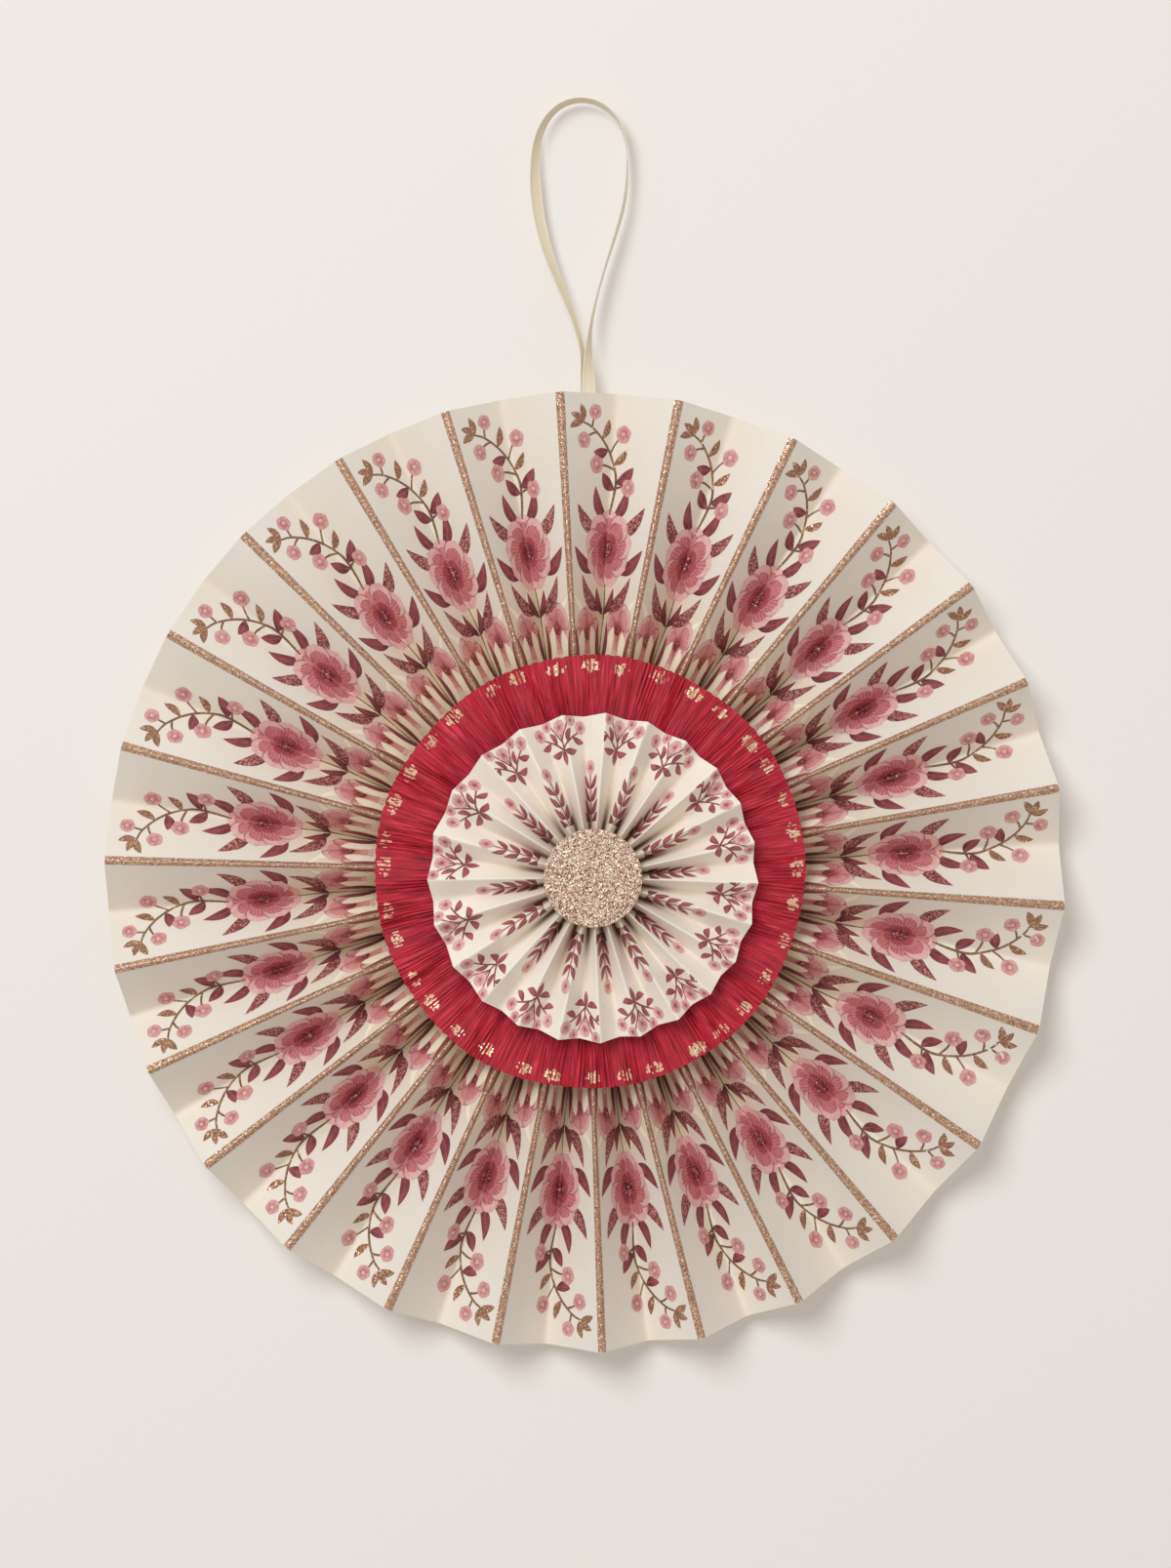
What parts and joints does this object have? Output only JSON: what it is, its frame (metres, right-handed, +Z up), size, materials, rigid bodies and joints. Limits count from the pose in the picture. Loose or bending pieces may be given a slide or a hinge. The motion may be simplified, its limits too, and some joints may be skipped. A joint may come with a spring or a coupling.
{
  "type": "paper fan medallion",
  "caption": "Round wall decoration of pleated printed paper with a gathered crepe ring, a small pleated rosette, a glitter disc at its middle and a ribbon loop.",
  "frame": {"origin": "middle of the card disc's back face, on the wall plane", "axes": "+Z up, as it hangs; the printed front faces -Y and +Y points into the wall; +X is to the right as the front is seen"},
  "size_m": [0.3046, 0.035, 0.3997],
  "materials": {
    "backing_card": "matt white card",
    "fan_paper": "smooth matt cream paper with a printed floral stripe",
    "crepe_paper": "matt crimson crepe with fine radial crinkles",
    "rosette_paper": "smooth matt off-white paper with printed sprigs",
    "gold_glitter": "coarse rose gold glitter on card",
    "satin_ribbon": "cream satin"
  },
  "bodies": {
    "root": {"backing_disc": "backing_card", "large_fan": "fan_paper", "crepe_ring": "crepe_paper", "small_rosette": "rosette_paper", "glitter_disc": "gold_glitter", "ribbon_loop": "satin_ribbon"}
  },
  "joints": []
}
